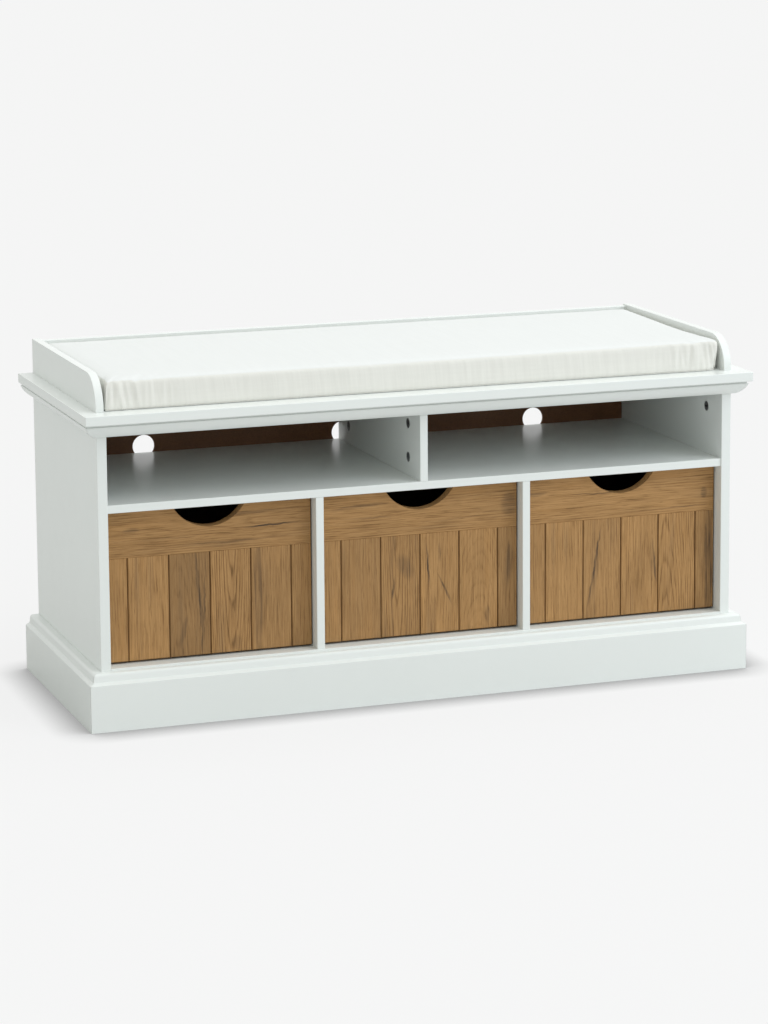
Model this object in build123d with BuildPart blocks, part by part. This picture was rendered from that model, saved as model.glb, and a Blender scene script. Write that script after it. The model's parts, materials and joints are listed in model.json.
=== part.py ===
"""Entryway bench: an open carcass of white boards with two cubbies over three pull-out boxes,
a gallery rail round a loose seat cushion, a moulded plinth and a cornice.

Millimetres. +Z is up, +X runs to the right, the front faces -Y, and the origin is the middle of
the floor contact.
"""
from build123d import *
import os

os.makedirs("parts", exist_ok=True)

# ---------------------------------------------------------------- driving dimensions
bench_width = 1040.0            # top board, left to right
bench_depth = 410.0             # top board, front to back
board_thick = 14.0              # top board
board_overhang_side = 23.0      # top board past a side panel
board_overhang_front = 30.0     # top board past the side panels' front edges
floor_to_board = 449.0          # underside of the top board
panel_thick = 15.0              # side panels and carcass top
divider_thick = 12.0            # shelf, dividers and gallery rails
back_thick = 3.0                # hardboard back
back_overlap = 12.0             # of the back over the bottom panel's rear edge
rebate_width = 8.0              # of the side panel and carcass top, for the back
bottom_top = 88.0               # upper face of the bottom panel
bottom_thick = 16.0
shelf_top = 327.0
shelf_recess = 2.5              # shelf and dividers behind the side panels' front edges
edge_round = 0.8                # softened edges of the lacquered boards
board_round = 1.5               # front corners of the top board, in plan

plinth_height = 85.0
plinth_front_thick = 19.0
plinth_side_thick = 21.0
support_thick = 15.0            # rear plinth rail and middle support
rear_rail_setback = 25.0        # middle of the rear plinth rail ahead of the back
block_size = 22.0               # glue blocks behind the plinth
block_lift = 2.0                # glue blocks clear of the floor

cornice_height = 21.0
cornice_out = 19.5              # widest, past the side panels and carcass front
cornice_foot = 5.0              # width of its flat underside
cornice_lip = 1.5               # upright edge above the ovolo
cornice_quirk = 2.0             # step in above that edge
quirk_height = 4.0
ovolo_radius = 30.0
rail_side_height = 52.0
rail_back_height = 50.0
rail_corner_radius = 48.0

cushion_height = 44.0
cushion_gap = 1.5               # to the rails, on each side
cushion_setback = 3.0           # cushion front behind the side panels' front edges
cushion_corner = 8.0            # corner radius in plan
cushion_round = 5.0             # round-over of the top edges
cushion_lift = 0.3              # above the top board
cover_thick = 1.2
foam_gap = 0.5                  # between the foam and the cover

cable_hole_radius = 17.5
cable_hole_height = 337.0       # centre, so the shelf stands across its lowest part

box_front_thick = 16.0
box_front_recess = 22.0         # box front behind the side panels' front edges
box_front_gap = 1.7             # beside the box front, each side
box_floor_gap = 3.0             # below the box front
box_top_gap = 3.3               # above the box front
box_wall = 12.0
box_wall_inset = 2.0            # box side behind the end of the box front
box_wall_drop = 11.0            # box side below the top of the box front
box_back_gap = 12.0             # box back to the bench's back panel
box_base_thick = 4.0
box_base_lift = 7.0             # base above the lower edge of the box front
box_groove = 5.0                # depth of the groove that holds the base
box_band = 68.0                 # height of the plain band along the top of the box front
box_bevel = 1.0                 # softened arrises of the box front
plank_count = 5
plank_groove_width = 3.0
plank_groove_depth = 2.0
band_groove_width = 1.2
band_groove_depth = 0.6
notch_chord = 106.0
notch_depth = 30.0
glide_radius = 8.0
glide_inset = 30.0              # glide centre to the outside of the box

cam_radius = 7.5
cam_depth = 9.0
cam_edge_distance = 34.0        # cam centre to the end of a side panel, shelf or bottom panel
cam_edge_divider = 28.0         # cam centre to the end of the upper divider
cam_setback_front = 55.0        # cam centre behind the carcass front
cam_setback_rear = 52.0         # cam centre ahead of the bench's back
bolt_radius = 3.0
bolt_embed = 9.0
dowel_radius = 3.0
dowel_embed = 8.0
screw_radius = 1.6
screw_head_radius = 3.5
screw_head_thick = 1.6
pin_radius = 1.0                # small screws that hold the back panel
pin_head_radius = 3.0
pin_head_thick = 1.0
pin_length = 14.0
running_gap = 0.2               # glides above the bottom panel
fit_gap = 0.08                  # round a fastener, on the radius

# ---------------------------------------------------------------- derived levels
board_half = bench_width / 2
front_y = -bench_depth / 2
back_y = bench_depth / 2
carcass_half = board_half - board_overhang_side
carcass_front = front_y + board_overhang_front
inner_half = carcass_half - panel_thick
back_face = back_y - back_thick
carcass_top_under = floor_to_board - panel_thick
board_top = floor_to_board + board_thick
shelf_under = shelf_top - divider_thick
recess_front = carcass_front + shelf_recess
recess_depth = back_face - recess_front
recess_mid = (back_face + recess_front) / 2
bay_width = (2 * inner_half - 2 * divider_thick) / 3
divider_x = (bay_width + divider_thick) / 2
bay_pitch = bay_width + divider_thick
plinth_half = carcass_half + plinth_side_thick
plinth_face = carcass_front - plinth_front_thick
bottom_under = bottom_top - bottom_thick
cam_rows = (carcass_front + cam_setback_front, back_y - cam_setback_rear)

X, Y, Z = Vector(1, 0, 0), Vector(0, 1, 0), Vector(0, 0, 1)


def save(piece, name):
    """Label a finished piece and write it as its own STEP file."""
    piece.part.label = name
    export_step(piece.part, f"parts/{name}.step")


def facing(points, direction):
    """Workplanes at the points, with their normals along the direction."""
    return [Plane(origin=point, z_dir=direction) for point in points]


# ---------------------------------------------------------------- fastener layout
# A cam joint is the cam's centre on the panel face, that face's outward direction, the
# direction in which its bolt leaves the panel, and the distance from the cam to the panel's end.
side_cams = {
    side: [(Vector(side * inner_half, y, carcass_top_under - cam_edge_distance), X * -side, Z,
            cam_edge_distance) for y in cam_rows]
    for side in (-1, 1)
}
divider_cams_up = [(Vector(-divider_thick / 2, y, carcass_top_under - cam_edge_divider), X * -1, Z,
                    cam_edge_divider) for y in cam_rows]
divider_cams_down = [(Vector(-divider_thick / 2, y, shelf_top + cam_edge_divider), X * -1, Z * -1,
                      cam_edge_divider) for y in cam_rows]
shelf_cams = [(Vector(side * (inner_half - cam_edge_distance), y, shelf_under), Z * -1, X * side,
               cam_edge_distance) for side in (-1, 1) for y in cam_rows]
bottom_cams = [(Vector(side * (inner_half - cam_edge_distance), y, bottom_under), Z * -1, X * side,
                cam_edge_distance) for side in (-1, 1) for y in cam_rows]
all_cams = (side_cams[-1] + side_cams[1] + divider_cams_up + divider_cams_down
            + shelf_cams + bottom_cams)

# Dowels: a point on the joint between two boards, and the direction into the second board.
dowel_rows = (carcass_front + 110.0, back_y - 110.0)
top_dowels = [Vector(side * (carcass_half - panel_thick / 2), y, carcass_top_under)
              for side in (-1, 1) for y in dowel_rows]
lower_dowels = [Vector(side * divider_x, y, bottom_top) for side in (-1, 1) for y in dowel_rows]
shelf_dowels = [Vector(side * divider_x, y, shelf_under) for side in (-1, 1) for y in dowel_rows]

# Screws up through the top board into the gallery rails, and through the carcass top into it.
rail_line = carcass_half - divider_thick / 2
rail_screw_points = [Vector(side * rail_line, y, floor_to_board)
                     for side in (-1, 1) for y in (-110.0, 20.0, 150.0)]
rail_screw_points += [Vector(x, back_y - divider_thick / 2, floor_to_board)
                      for x in (-390.0, -130.0, 130.0, 390.0)]
rail_screw_length = 34.0
board_screw_points = [Vector(x, y, carcass_top_under)
                      for x in (-400.0, -135.0, 135.0, 400.0) for y in (-130.0, 130.0)]
board_screw_length = panel_thick + 10.0

# Small screws through the back panel.
pin_side_x = carcass_half - panel_thick + rebate_width / 2
pin_points = [Vector(side * pin_side_x, back_y, z)
              for side in (-1, 1) for z in (115.0, 205.0, 295.0, 395.0)]
pin_points += [Vector(x, back_y, carcass_top_under + rebate_width / 2)
               for x in (-400.0, -200.0, 0.0, 200.0, 400.0)]
pin_points += [Vector(x, back_y, bottom_top - back_overlap / 2) for x in (-400.0, -200.0, 0.0, 200.0, 400.0)]
pin_points += [Vector(x, back_y, shelf_under + divider_thick / 2)
               for x in (-420.0, -divider_x, divider_x, 420.0)]


def cut_cam_pockets(cams):
    """Drill each cam's pocket, and its bolt's bore from the end of the panel."""
    for centre, outward, along, distance in cams:
        with Locations(Plane(origin=centre, z_dir=outward)):
            Hole(cam_radius + fit_gap, cam_depth)
        with Locations(Plane(origin=bolt_axis_point(centre, outward, along, distance), z_dir=along)):
            Hole(bolt_radius + fit_gap, distance)


def bolt_axis_point(centre, outward, along, distance):
    """The point where a cam's bolt crosses the end of its panel."""
    return centre - outward * (cam_depth * 0.6) + along * distance


def cut_bolt_sockets(cams):
    """Drill the blind sockets that the cams' bolts are screwed into."""
    for centre, outward, along, distance in cams:
        with Locations(Plane(origin=bolt_axis_point(centre, outward, along, distance),
                             z_dir=along * -1)):
            Hole(bolt_radius + fit_gap, bolt_embed + fit_gap)


def cut_dowel_holes(points, outward):
    """Drill blind dowel holes; outward points away from the board that is drilled."""
    with Locations(*facing(points, outward)):
        Hole(dowel_radius + fit_gap, dowel_embed + fit_gap)


def cut_screw_holes(points, outward, through):
    """Drill counterbored screw holes through a board of the given thickness."""
    with Locations(*facing(points, outward)):
        Hole(screw_radius + fit_gap, through)
    with Locations(*facing(points, outward)):
        Hole(screw_head_radius + fit_gap, screw_head_thick)


# ---------------------------------------------------------------- carcass boards
def side_panel(side):
    """An upright side, rebated along its inner back corner for the back panel."""
    centre_x = side * (carcass_half - panel_thick / 2)
    with BuildPart() as panel:
        with BuildSketch(Plane.XY):
            with Locations((centre_x, (carcass_front + back_y) / 2)):
                Rectangle(panel_thick, back_y - carcass_front)
        extrude(amount=carcass_top_under)
        fillet(panel.edges().filter_by(Axis.Z).group_by(Axis.Y)[0], edge_round)
        with BuildSketch(Plane.XY.offset(bottom_under)):
            with Locations((side * pin_side_x, back_y - back_thick / 2)):
                Rectangle(rebate_width, back_thick)
        extrude(amount=carcass_top_under - bottom_under, mode=Mode.SUBTRACT)
        cut_cam_pockets(side_cams[side])
        cut_bolt_sockets([cam for cam in shelf_cams + bottom_cams if cam[0].X * side > 0])
        cut_dowel_holes([point for point in top_dowels if point.X * side > 0], Z)
        back_pins = [point - Y * back_thick for point in pin_points
                     if abs(point.X - side * pin_side_x) < 1]
        with Locations(*facing(back_pins, Y)):
            Hole(pin_radius + fit_gap, pin_length)
    return panel


for side, word in ((-1, "left"), (1, "right")):
    save(side_panel(side), f"side_panel_{word}")

with BuildPart() as carcass_top_panel:
    with BuildSketch(Plane.XY.offset(carcass_top_under)):
        with Locations((0, (carcass_front + back_y) / 2)):
            Rectangle(2 * carcass_half, back_y - carcass_front)
    extrude(amount=panel_thick)
    with BuildSketch(Plane.XY.offset(carcass_top_under)):
        with Locations((0, back_y - back_thick / 2)):
            Rectangle(2 * (inner_half + rebate_width), back_thick)
    extrude(amount=rebate_width, mode=Mode.SUBTRACT)
    cut_bolt_sockets(side_cams[-1] + side_cams[1] + divider_cams_up)
    cut_dowel_holes(top_dowels, Z * -1)
    cut_screw_holes(board_screw_points, Z * -1, panel_thick)
    top_pins = [point - Y * back_thick for point in pin_points if point.Z > carcass_top_under]
    with Locations(*facing(top_pins, Y)):
        Hole(pin_radius + fit_gap, pin_length)
save(carcass_top_panel, "carcass_top_panel")

with BuildPart() as bottom_panel:
    with BuildSketch(Plane.XY.offset(bottom_under)):
        with Locations((0, (carcass_front + back_face) / 2)):
            Rectangle(2 * inner_half, back_face - carcass_front)
    extrude(amount=bottom_thick)
    fillet(bottom_panel.edges().filter_by(Axis.X).group_by(Axis.Y)[0].sort_by(Axis.Z)[-1], edge_round)
    cut_cam_pockets(bottom_cams)
    cut_dowel_holes(lower_dowels, Z)
    bottom_pins = [point - Y * back_thick for point in pin_points if point.Z < bottom_top]
    with Locations(*facing(bottom_pins, Y)):
        Hole(pin_radius + fit_gap, pin_length)
save(bottom_panel, "bottom_panel")

with BuildPart() as shelf:
    with BuildSketch(Plane.XY.offset(shelf_under)):
        with Locations((0, recess_mid)):
            Rectangle(2 * inner_half, recess_depth)
    extrude(amount=divider_thick)
    fillet(shelf.edges().filter_by(Axis.X).group_by(Axis.Y)[0], edge_round)
    cut_cam_pockets(shelf_cams)
    cut_bolt_sockets(divider_cams_down)
    cut_dowel_holes(shelf_dowels, Z * -1)
    shelf_pins = [point - Y * back_thick for point in pin_points
                  if shelf_under < point.Z < shelf_top]
    with Locations(*facing(shelf_pins, Y)):
        Hole(pin_radius + fit_gap, pin_length)
save(shelf, "shelf")

with BuildPart() as upper_divider:
    with BuildSketch(Plane.XY.offset(shelf_top)):
        with Locations((0, recess_mid)):
            Rectangle(divider_thick, recess_depth)
    extrude(amount=carcass_top_under - shelf_top)
    fillet(upper_divider.edges().filter_by(Axis.Z).group_by(Axis.Y)[0], edge_round)
    cut_cam_pockets(divider_cams_up + divider_cams_down)
save(upper_divider, "upper_divider")


def lower_divider(side):
    """An upright between two box bays, doweled to the bottom panel and the shelf."""
    with BuildPart() as divider:
        with BuildSketch(Plane.XY.offset(bottom_top)):
            with Locations((side * divider_x, recess_mid)):
                Rectangle(divider_thick, recess_depth)
        extrude(amount=shelf_under - bottom_top)
        fillet(divider.edges().filter_by(Axis.Z).group_by(Axis.Y)[0], edge_round)
        cut_dowel_holes([point for point in lower_dowels if point.X * side > 0], Z * -1)
        cut_dowel_holes([point for point in shelf_dowels if point.X * side > 0], Z)
    return divider


for side, word in ((-1, "left"), (1, "right")):
    save(lower_divider(side), f"lower_divider_{word}")

with BuildPart() as back_panel:
    with BuildSketch(Plane.XZ.offset(-back_face)):
        back_low = bottom_top - back_overlap
        back_high = carcass_top_under + rebate_width
        with Locations((0, (back_low + back_high) / 2)):
            Rectangle(2 * (inner_half + rebate_width), back_high - back_low)
        with Locations(*[(bay * bay_pitch, cable_hole_height) for bay in (-1, 0, 1)]):
            Circle(cable_hole_radius, mode=Mode.SUBTRACT)
    extrude(amount=-back_thick)
    with Locations(*facing(pin_points, Y)):
        Hole(pin_radius + fit_gap, back_thick)
    with Locations(*facing(pin_points, Y)):
        Hole(pin_head_radius + fit_gap, pin_head_thick)
save(back_panel, "back_panel")

with BuildPart() as top_board:
    with BuildSketch(Plane.XY.offset(floor_to_board)):
        Rectangle(bench_width, bench_depth)
    extrude(amount=board_thick)
    fillet(top_board.edges().filter_by(Axis.Z).group_by(Axis.Y)[0], board_round)
    fillet(top_board.faces().sort_by(Axis.Z)[-1].edges(), edge_round)
    fillet(top_board.faces().sort_by(Axis.Z)[0].edges(), edge_round)
    cut_screw_holes(rail_screw_points, Z * -1, board_thick)
    with Locations(*facing([point + Z * panel_thick for point in board_screw_points], Z * -1)):
        Hole(screw_radius + fit_gap, board_screw_length - panel_thick + fit_gap)
save(top_board, "top_board")

# ---------------------------------------------------------------- mitred mouldings
# Both mouldings run along the front and back along each side. Their corners are mitred on the
# 45 degree line through the outer front corner.
mitre_reach = 60.0


def cut_mitre(corner_x, corner_y, side, keep_side_piece):
    """Cut away what lies past the mitre through the outer front corner, on one side."""
    step = 1 if keep_side_piece else -1
    with BuildSketch(Plane.XY.offset(-1)) as waste:
        with BuildLine():
            inward = Vector(-side * mitre_reach, mitre_reach)
            start = Vector(corner_x, corner_y) - inward
            end = Vector(corner_x, corner_y) + inward
            shift = Vector(-side * mitre_reach, -mitre_reach) * step
            Polyline(start, end, end + shift, start + shift, close=True)
        make_face()
    extrude(waste.sketch, amount=board_top, mode=Mode.SUBTRACT)


def cornice_profile(plane):
    """A quirk under the top board, then a flat ovolo falling back to the carcass."""
    with BuildSketch(plane) as profile:
        with BuildLine():
            neck = cornice_out - cornice_quirk
            lip_top = cornice_height - quirk_height
            lip_low = lip_top - cornice_lip
            Polyline((0, 0), (0, cornice_height), (neck, cornice_height), (neck, lip_top),
                     (cornice_out, lip_top), (cornice_out, lip_low))
            RadiusArc((cornice_out, lip_low), (cornice_foot, 0), ovolo_radius)
            Line((cornice_foot, 0), (0, 0))
        make_face()
    return profile.sketch


def plinth_profile(plane, thick):
    """A flat board whose top is worked to a ledge and a round-over; x runs outwards."""
    with BuildSketch(plane) as profile:
        with BuildLine():
            Polyline((0, 0), (thick, 0), (thick, plinth_height - 16), (thick - 1, plinth_height - 15),
                     (thick - 6, plinth_height - 12), (thick - 7, plinth_height - 5))
            RadiusArc((thick - 7, plinth_height - 5), (thick - 12, plinth_height), -5.2)
            Polyline((thick - 12, plinth_height), (0, plinth_height), (0, 0))
        make_face()
    return profile.sketch


cornice_low = floor_to_board - cornice_height



def front_outward(height):
    """A plane across the bench's right end at the carcass front, with x running outwards."""
    return Plane(origin=(board_half, carcass_front, height), x_dir=(0, -1, 0), z_dir=(-1, 0, 0))


with BuildPart() as cornice_front:
    outline = cornice_profile(front_outward(cornice_low))
    extrude(outline, amount=bench_width)
    for side in (-1, 1):
        cut_mitre(side * (carcass_half + cornice_out), carcass_front - cornice_out, side, False)
save(cornice_front, "cornice_front")

with BuildPart() as plinth_front:
    outline = plinth_profile(front_outward(0), plinth_front_thick)
    extrude(outline, amount=bench_width)
    for side in (-1, 1):
        cut_mitre(side * plinth_half, plinth_face, side, False)
save(plinth_front, "plinth_front")


def side_outward(side, height):
    """A plane across the bench's side at its back, with x running outwards."""
    return Plane(origin=(side * carcass_half, back_y, height), x_dir=(side, 0, 0),
                 z_dir=(0, -side, 0))


def side_moulding(side, outline, corner_x, corner_y):
    """Extrude a moulding's outline forward along one side and mitre its front end."""
    run = back_y - corner_y
    with BuildPart() as moulding:
        extrude(outline, amount=run, dir=(0, -1, 0))
        cut_mitre(corner_x, corner_y, side, True)
    return moulding


for side, word in ((-1, "left"), (1, "right")):
    save(side_moulding(side, cornice_profile(side_outward(side, cornice_low)),
                       side * (carcass_half + cornice_out), carcass_front - cornice_out),
         f"cornice_{word}")
    save(side_moulding(side, plinth_profile(side_outward(side, 0), plinth_side_thick),
                       side * plinth_half, plinth_face),
         f"plinth_{word}")

# ---------------------------------------------------------------- under the bottom panel
with BuildPart() as plinth_back_rail:
    with BuildSketch(Plane.XY):
        with Locations((0, back_y - rear_rail_setback)):
            Rectangle(2 * inner_half, support_thick)
    extrude(amount=bottom_under)
save(plinth_back_rail, "plinth_back_rail")

with BuildPart() as middle_support:
    support_back = back_y - rear_rail_setback - support_thick / 2
    with BuildSketch(Plane.XY):
        with Locations((0, (carcass_front + support_back) / 2)):
            Rectangle(support_thick, support_back - carcass_front)
    extrude(amount=bottom_under)
save(middle_support, "middle_support")

with BuildPart() as plinth_blocks:
    block_y = carcass_front + block_size / 2
    outer_x = inner_half - block_size / 2
    middle_x = (support_thick + block_size) / 2
    with BuildSketch(Plane.XY.offset(block_lift)):
        with Locations(*[(x, block_y) for x in (-outer_x, -middle_x, middle_x, outer_x)]):
            Rectangle(block_size, block_size)
    extrude(amount=bottom_under - block_lift)
save(plinth_blocks, "plinth_blocks")


# ---------------------------------------------------------------- gallery rails
def side_rail(side):
    """A low rail standing on the top board; its front corner is one large quarter round."""
    with BuildPart() as rail:
        with BuildSketch(Plane.YZ.offset(side * carcass_half)) as outline:
            with BuildLine():
                top = board_top + rail_side_height
                start = carcass_front
                Polyline((start, top - rail_corner_radius), (start, board_top), (back_y, board_top),
                         (back_y, top), (start + rail_corner_radius, top))
                RadiusArc((start + rail_corner_radius, top), (start, top - rail_corner_radius),
                          -rail_corner_radius)
            make_face()
        extrude(amount=-side * divider_thick)
        soft = rail.edges().filter_by(lambda edge: edge.center().Z > board_top + 1)
        soft = soft.filter_by(lambda edge: edge.center().Y < back_y - 1)
        fillet(soft.filter_by(lambda edge: abs(edge.tangent_at(0.5).X) < 0.5), edge_round)
        ends = [point + Z * board_thick for point in rail_screw_points
                if abs(point.X - side * rail_line) < 1]
        with Locations(*facing(ends, Z * -1)):
            Hole(screw_radius + fit_gap, rail_screw_length - board_thick + fit_gap)
    return rail


for side, word in ((-1, "left"), (1, "right")):
    save(side_rail(side), f"gallery_rail_{word}")

with BuildPart() as gallery_rail_back:
    with BuildSketch(Plane.XY.offset(board_top)):
        with Locations((0, back_y - divider_thick / 2)):
            Rectangle(2 * (carcass_half - divider_thick), divider_thick)
    extrude(amount=rail_back_height)
    fillet(gallery_rail_back.edges().filter_by(Axis.X).group_by(Axis.Z)[-1], edge_round)
    rear_ends = [point + Z * board_thick for point in rail_screw_points if abs(point.X) < rail_line - 1]
    with Locations(*facing(rear_ends, Z * -1)):
        Hole(screw_radius + fit_gap, rail_screw_length - board_thick + fit_gap)
save(gallery_rail_back, "gallery_rail_back")

# ---------------------------------------------------------------- fasteners
with BuildPart() as cam_locks:
    for centre, outward, along, distance in all_cams:
        with Locations(Plane(origin=centre, x_dir=along, z_dir=outward)):
            Cylinder(cam_radius, cam_depth - 0.5, align=(Align.CENTER, Align.CENTER, Align.MAX))
            Box(9.0, 1.6, 2.5, align=(Align.CENTER, Align.CENTER, Align.MAX), mode=Mode.SUBTRACT)
            Box(1.6, 9.0, 2.5, align=(Align.CENTER, Align.CENTER, Align.MAX), mode=Mode.SUBTRACT)
        with Locations(Plane(origin=bolt_axis_point(centre, outward, along, distance), z_dir=along)):
            Hole(bolt_radius + fit_gap, distance)
save(cam_locks, "cam_locks")

with BuildPart() as cam_bolts:
    for centre, outward, along, distance in all_cams:
        with Locations(Plane(origin=bolt_axis_point(centre, outward, along, distance), z_dir=along)):
            Cylinder(bolt_radius, distance, align=(Align.CENTER, Align.CENTER, Align.MAX))
            Cylinder(bolt_radius, bolt_embed, align=(Align.CENTER, Align.CENTER, Align.MIN))
save(cam_bolts, "cam_bolts")

with BuildPart() as wooden_dowels:
    with Locations(*facing(top_dowels + lower_dowels + shelf_dowels, Z)):
        Cylinder(dowel_radius, 2 * dowel_embed)
save(wooden_dowels, "wooden_dowels")


def screws(points, heading, length, shank, head, head_thick):
    """Flat-headed screws from the points along the heading, with a cross cut in each head."""
    with BuildPart() as group:
        with Locations(*facing(points, heading)):
            Cylinder(shank, length, align=(Align.CENTER, Align.CENTER, Align.MIN))
            Cylinder(head, head_thick, align=(Align.CENTER, Align.CENTER, Align.MIN))
            Box(head, 0.8, head_thick, mode=Mode.SUBTRACT)
            Box(0.8, head, head_thick, mode=Mode.SUBTRACT)
    return group


save(screws(rail_screw_points, Z, rail_screw_length, screw_radius, screw_head_radius,
            screw_head_thick), "rail_screws")
save(screws(board_screw_points, Z, board_screw_length, screw_radius, screw_head_radius,
            screw_head_thick), "top_board_screws")
save(screws(pin_points, Y * -1, pin_length, pin_radius, pin_head_radius, pin_head_thick),
     "back_panel_screws")

# ---------------------------------------------------------------- seat cushion
rail_inner = carcass_half - divider_thick
cushion_width = 2 * (rail_inner - cushion_gap)
cushion_back = back_y - divider_thick - cushion_gap
cushion_front = carcass_front + cushion_setback
cushion_depth = cushion_back - cushion_front
cushion_mid = (cushion_back + cushion_front) / 2
cushion_base = board_top + cushion_lift
hollow_width = cushion_width - 2 * cover_thick
hollow_depth = cushion_depth - 2 * cover_thick
hollow_height = cushion_height - 2 * cover_thick - cushion_round / 2
hollow_corner = cushion_corner - cover_thick

with BuildPart() as cushion_cover:
    with BuildSketch(Plane.XY.offset(cushion_base)):
        with Locations((0, cushion_mid)):
            RectangleRounded(cushion_width, cushion_depth, cushion_corner)
    extrude(amount=cushion_height)
    fillet(cushion_cover.faces().sort_by(Axis.Z)[-1].edges(), cushion_round)
    with BuildSketch(Plane.XY.offset(cushion_base + cover_thick)):
        with Locations((0, cushion_mid)):
            RectangleRounded(hollow_width, hollow_depth, hollow_corner)
    extrude(amount=hollow_height, mode=Mode.SUBTRACT)
save(cushion_cover, "cushion_cover")

with BuildPart() as cushion_foam:
    with BuildSketch(Plane.XY.offset(cushion_base + cover_thick)):
        with Locations((0, cushion_mid)):
            RectangleRounded(hollow_width - 2 * foam_gap, hollow_depth - 2 * foam_gap,
                             hollow_corner - foam_gap)
    extrude(amount=hollow_height - foam_gap)
save(cushion_foam, "cushion_foam")

# ---------------------------------------------------------------- pull-out boxes
box_face = carcass_front + box_front_recess
box_rear = back_face - box_back_gap
box_low = bottom_top + box_floor_gap
box_high = shelf_under - box_top_gap
box_width = bay_width - 2 * box_front_gap
box_height = box_high - box_low
wall_face = box_face + box_front_thick
wall_half = box_width / 2 - box_wall_inset
wall_high = box_high - box_wall_drop
base_low = box_low + box_base_lift
notch_radius = (notch_chord ** 2 / 4 + notch_depth ** 2) / (2 * notch_depth)
plank_pitch = box_width / plank_count
box_screw_rows = (box_low + 40.0, wall_high - 40.0)
box_screw_length = box_wall + 22.0


def base_slot(bay, slack):
    """The base board's outline in plan, reaching into the grooves round it."""
    half = wall_half - box_wall + box_groove + slack
    front = wall_face - box_groove - slack
    back = box_rear - box_wall + box_groove + slack
    with BuildSketch(Plane.XY.offset(base_low - slack)) as plan:
        with Locations((bay * bay_pitch, (front + back) / 2)):
            Rectangle(2 * half, back - front)
    return plan.sketch


def cut_base_groove(bay):
    """Cut the groove for the base board, a little wider than the board."""
    extrude(base_slot(bay, 0.1), amount=box_base_thick + 0.2, mode=Mode.SUBTRACT)


def wall_screw_points(bay):
    """Where the back is screwed into the ends of the two sides."""
    return [Vector(bay * bay_pitch + side * (wall_half - box_wall / 2), box_rear, z)
            for side in (-1, 1) for z in box_screw_rows]


def front_dowel_points(bay):
    """Where the ends of the two sides are doweled to the front."""
    return [Vector(bay * bay_pitch + side * (wall_half - box_wall / 2), wall_face, z)
            for side in (-1, 1) for z in box_screw_rows]


def box_front(bay):
    """The front: plain band with a finger notch, over planks set off by V grooves."""
    middle = bay * bay_pitch
    band_low = box_high - box_band
    with BuildPart() as front:
        with BuildSketch(Plane.XZ.offset(-box_face)):
            with Locations((middle, (box_low + box_high) / 2)):
                Rectangle(box_width, box_height)
            with Locations((middle, box_high - notch_depth + notch_radius)):
                Circle(notch_radius, mode=Mode.SUBTRACT)
        extrude(amount=-box_front_thick)
        chamfer(front.faces().sort_by(Axis.Y)[0].edges(), box_bevel)
        groove_x = [middle + (index - (plank_count - 1) / 2) * plank_pitch
                    for index in range(plank_count)]
        with BuildSketch(Plane.XY.offset(box_low - 1)) as v_cuts:
            with Locations(*[(x, box_face) for x in groove_x]):
                Polygon((-plank_groove_width / 2, -0.01), (plank_groove_width / 2, -0.01),
                        (0, plank_groove_depth), align=None)
        extrude(v_cuts.sketch, amount=band_low - box_low + 1, mode=Mode.SUBTRACT)
        with BuildSketch(Plane.YZ.offset(middle - box_width)) as line_cut:
            with Locations((box_face, band_low)):
                Polygon((-0.01, -band_groove_width / 2), (-0.01, band_groove_width / 2),
                        (band_groove_depth, 0), align=None)
        extrude(line_cut.sketch, amount=2 * box_width, mode=Mode.SUBTRACT)
        cut_base_groove(bay)
        with Locations(*facing(front_dowel_points(bay), Y)):
            Hole(dowel_radius + fit_gap, dowel_embed + fit_gap)
    return front


def box_side(bay, side):
    """One side of a box, grooved for the base."""
    wall_x = bay * bay_pitch + side * (wall_half - box_wall / 2)
    wall_back = box_rear - box_wall
    with BuildPart() as wall:
        with BuildSketch(Plane.XY.offset(box_low)):
            with Locations((wall_x, (wall_face + wall_back) / 2)):
                Rectangle(box_wall, wall_back - wall_face)
        extrude(amount=wall_high - box_low)
        fillet(wall.edges().filter_by(Axis.Y).group_by(Axis.Z)[-1], edge_round)
        cut_base_groove(bay)
        screw_ends = [point - Y * box_wall for point in wall_screw_points(bay)
                      if abs(point.X - wall_x) < 1]
        with Locations(*facing(screw_ends, Y)):
            Hole(screw_radius + fit_gap, box_screw_length - box_wall + fit_gap)
        dowel_ends = [point for point in front_dowel_points(bay) if abs(point.X - wall_x) < 1]
        with Locations(*facing(dowel_ends, Y * -1)):
            Hole(dowel_radius + fit_gap, dowel_embed + fit_gap)
    return wall


def box_back(bay):
    """The back of a box, across the ends of its sides."""
    with BuildPart() as back:
        with BuildSketch(Plane.XY.offset(box_low)):
            with Locations((bay * bay_pitch, box_rear - box_wall / 2)):
                Rectangle(2 * wall_half, box_wall)
        extrude(amount=wall_high - box_low)
        fillet(back.edges().filter_by(Axis.X).group_by(Axis.Z)[-1], edge_round)
        cut_base_groove(bay)
        cut_screw_holes(wall_screw_points(bay), Y, box_wall)
    return back


def box_base(bay):
    """The thin base board, held in the grooves."""
    with BuildPart() as base:
        extrude(base_slot(bay, 0), amount=box_base_thick)
    return base


def box_glides(bay):
    """Four low buttons under the box sides and back, on which it slides."""
    reach_x = wall_half - box_wall / 2
    places = [(bay * bay_pitch + side * reach_x, y) for side in (-1, 1)
              for y in (wall_face + glide_inset, box_rear - glide_inset)]
    with BuildPart() as glides:
        with BuildSketch(Plane.XY.offset(box_low)):
            with Locations(*places):
                SlotCenterToCenter(2 * glide_radius, box_wall - 2.0, rotation=90)
        extrude(amount=-(box_floor_gap - running_gap))
    return glides


def box_dowels(bay):
    """Dowels between the sides and the front of a box."""
    with BuildPart() as dowels:
        with Locations(*facing(front_dowel_points(bay), Y)):
            Cylinder(dowel_radius, 2 * dowel_embed)
    return dowels


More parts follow.
